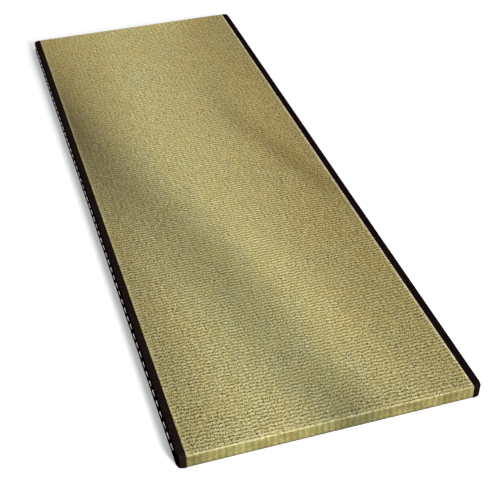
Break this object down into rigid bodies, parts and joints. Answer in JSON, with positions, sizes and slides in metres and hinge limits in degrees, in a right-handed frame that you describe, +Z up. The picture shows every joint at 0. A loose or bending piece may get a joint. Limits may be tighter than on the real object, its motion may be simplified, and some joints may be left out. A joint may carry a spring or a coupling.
{
  "type": "tatami mat",
  "caption": "Flat rectangular floor mat: ribbed woven rush over a firm core, with dark cloth bindings folded over both long edges.",
  "frame": {"origin": "centre of the underside, on the surface that the mat lies on", "axes": "+Y along the mat's length, +X across its width, +Z up out of the rush face"},
  "size_m": [0.7, 2, 0.035],
  "materials": {
    "rush": "woven rush, dry and slightly glossy along each stem",
    "binding_cloth": "plain-woven cotton and linen cloth, matte black",
    "thread": "twisted sewing thread, undyed white"
  },
  "bodies": {
    "root": {"rush_body": "rush", "binding_left": "binding_cloth", "binding_right": "binding_cloth"}
  },
  "joints": []
}
